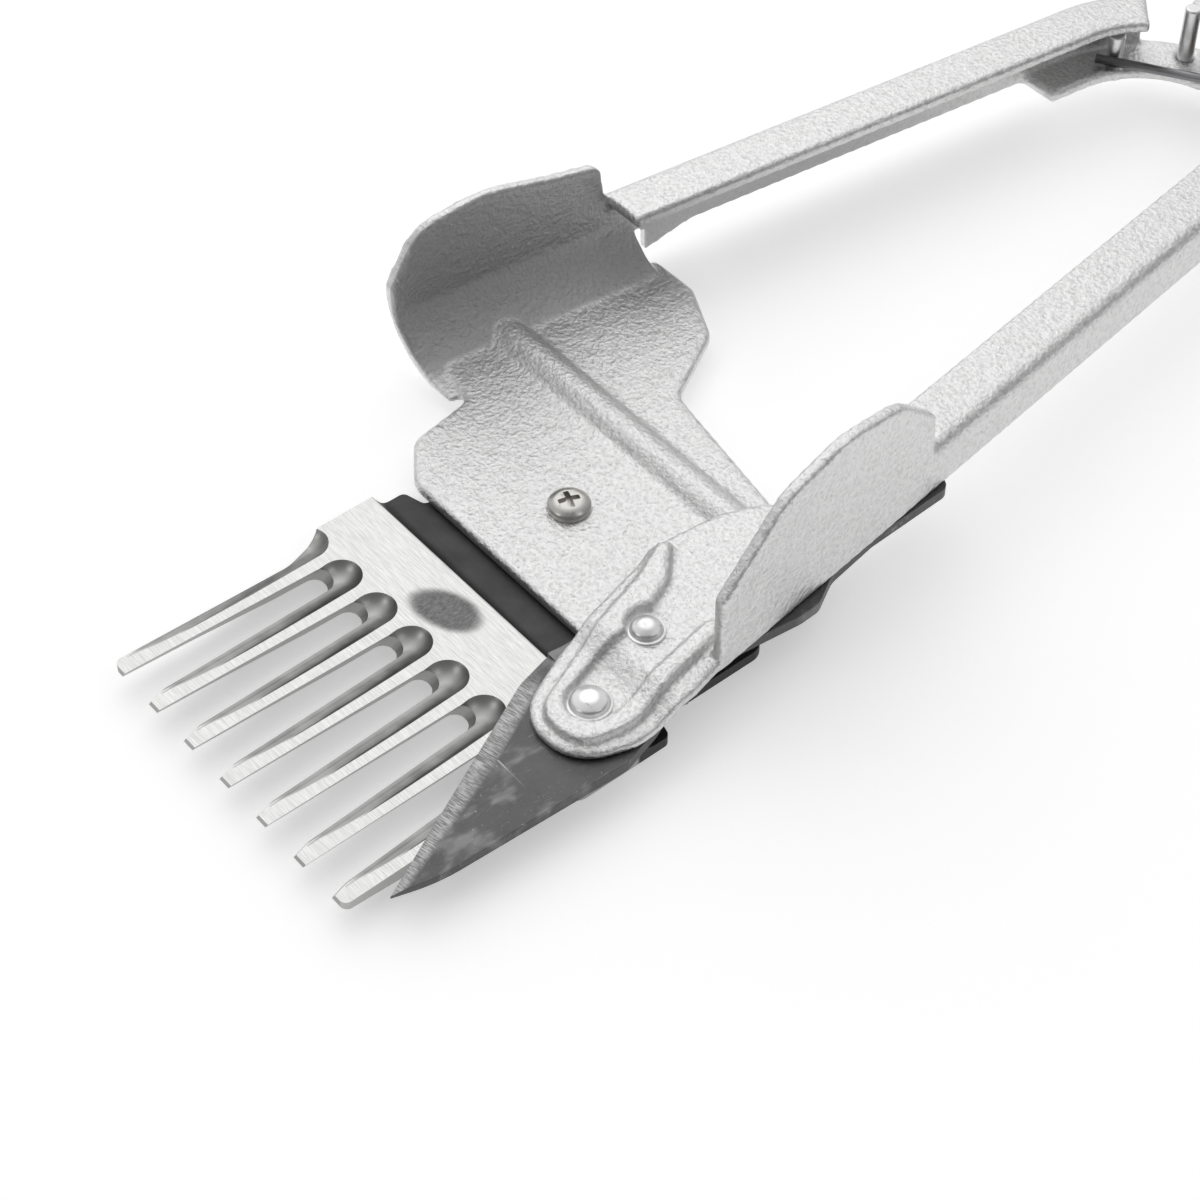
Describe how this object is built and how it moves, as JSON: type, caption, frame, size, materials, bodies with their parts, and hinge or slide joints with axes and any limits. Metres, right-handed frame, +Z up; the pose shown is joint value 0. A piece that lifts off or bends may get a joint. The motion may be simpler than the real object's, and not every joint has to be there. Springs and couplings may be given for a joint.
{
  "type": "sheep shears",
  "caption": "Hand sheep shears: a fixed comb under a cast half with a guard and handle, and a blade on a second half, hinged and sprung at the rear.",
  "frame": {"origin": "middle of the comb's flat underside", "axes": "+X right across the comb, +Y from the tooth tips to the hinge, +Z up"},
  "size_m": [0.1258, 0.3203, 0.0481],
  "materials": {
    "tinned_casting": "hot-dipped bright tin over a rough casting",
    "ground_comb_steel": "ground bright on top, dark as forged in the hollows",
    "forged_blade_steel": "dark forged scale with a ground bevel",
    "rivet_steel": "bright domed rivet",
    "screw_steel": "satin stainless",
    "hinge_steel": "zinc plated",
    "washer_brass": "turned",
    "spring_steel": "drawn wire, oiled"
  },
  "bodies": {
    "comb_half": {"comb": "ground_comb_steel", "comb_screws": "screw_steel", "comb_carrier": "tinned_casting", "hinge_bolt": "hinge_steel", "lower_friction_washer": "washer_brass", "hinge_bush": "hinge_steel", "upper_friction_washer": "washer_brass", "hinge_washer": "hinge_steel", "hinge_nut": "hinge_steel", "return_spring": "spring_steel", "left_spring_post": "rivet_steel", "stop_pin": "rivet_steel"},
    "blade_half": {"blade_carrier": "tinned_casting", "blade": "forged_blade_steel", "front_rivet": "rivet_steel", "rear_rivet": "rivet_steel", "right_spring_post": "rivet_steel"}
  },
  "joints": [
    {"name": "shear_hinge", "type": "hinge", "parent": "comb_half", "child": "blade_half", "pos_m": [-0.019, 0.24735, 0.0225], "axis": [0, 0, -1], "range_deg": [0, 15], "stiffness_Nm_per_rad": 1.2, "springref_deg": -14.32, "deforming": ["return_spring"]}
  ]
}
